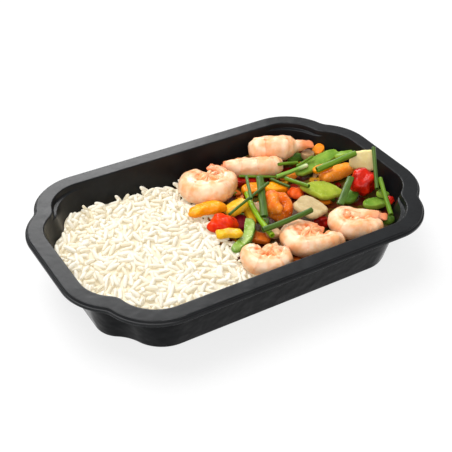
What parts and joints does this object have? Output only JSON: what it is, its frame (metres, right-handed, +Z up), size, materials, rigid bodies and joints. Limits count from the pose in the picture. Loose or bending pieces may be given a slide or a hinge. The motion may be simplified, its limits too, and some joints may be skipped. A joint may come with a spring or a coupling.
{
  "type": "filled ready meal tray",
  "caption": "Black plastic ready meal tray with a flat flanged rim, filled with boiled rice beside shrimps and stir-fried vegetables.",
  "frame": {"origin": "centre of the tray's underside, on the surface it stands on", "axes": "+X along the tray's long side towards the vegetables, +Y across it towards the back, +Z up"},
  "size_m": [0.223, 0.1422, 0.0419],
  "materials": {
    "tray": "black moulded plastic, satin",
    "boiled_rice": "moist off-white grain",
    "sauce": "dark brown, wet",
    "shrimp": "pale peach with orange stripes, moist",
    "chive": "dark green, moist",
    "green_pod": "light green, moist",
    "yellow_pepper": "golden yellow, wet",
    "red_pepper": "deep red, wet",
    "orange_pepper": "orange, wet",
    "tomato": "bright red, wet",
    "carrot": "orange, moist",
    "pale_onion": "pale yellow-white, translucent",
    "red_onion": "burgundy skin, wet"
  },
  "bodies": {
    "root": {"carrot_baton": "carrot", "carrot_brown": "carrot", "carrot_chunk": "carrot", "carrot_sliver": "carrot", "chive_bright": "chive", "chive_cross": "chive", "chive_dark": "chive", "chive_grey": "chive", "chive_leaf": "chive", "chive_long_flat": "chive", "chive_middle": "chive", "chive_pale": "chive", "chive_rear": "chive", "chive_rear_b": "chive", "chive_rear_d": "chive", "chive_right": "chive", "chive_rim": "chive", "chive_short": "chive", "chive_wide": "chive", "onion_brown": "pale_onion", "onion_burgundy": "red_onion", "onion_far": "pale_onion", "onion_slab": "pale_onion", "onion_small": "pale_onion", "onion_stalk": "pale_onion", "onion_upright": "pale_onion", "pepper_orange_far": "orange_pepper", "pepper_orange_scrap": "orange_pepper", "pepper_red_gap": "red_pepper", "pepper_red_rear": "red_pepper", "pepper_red_right": "red_pepper", "pepper_yellow_curl": "yellow_pepper", "pepper_yellow_end": "yellow_pepper", "pepper_yellow_front": "yellow_pepper", "pepper_yellow_left": "yellow_pepper", "pepper_yellow_rear": "yellow_pepper", "pepper_yellow_slab": "yellow_pepper", "pepper_yellow_strip": "yellow_pepper", "pod_behind": "green_pod", "pod_corner": "green_pod", "pod_curved": "green_pod", "pod_long": "green_pod", "pod_low": "green_pod", "pod_pointed": "green_pod", "pod_right": "green_pod", "pod_shaded": "green_pod", "pod_under_tail": "green_pod", "rice": "boiled_rice", "shrimp_back": "shrimp", "shrimp_coiled": "shrimp", "shrimp_corner": "shrimp", "shrimp_front": "shrimp", "shrimp_right": "shrimp", "shrimp_straight": "shrimp", "stir_fry_bed": "sauce", "tomato_front": "tomato", "tomato_large": "tomato", "tomato_left": "tomato", "tomato_scrap": "tomato", "tray": "tray"}
  },
  "joints": []
}
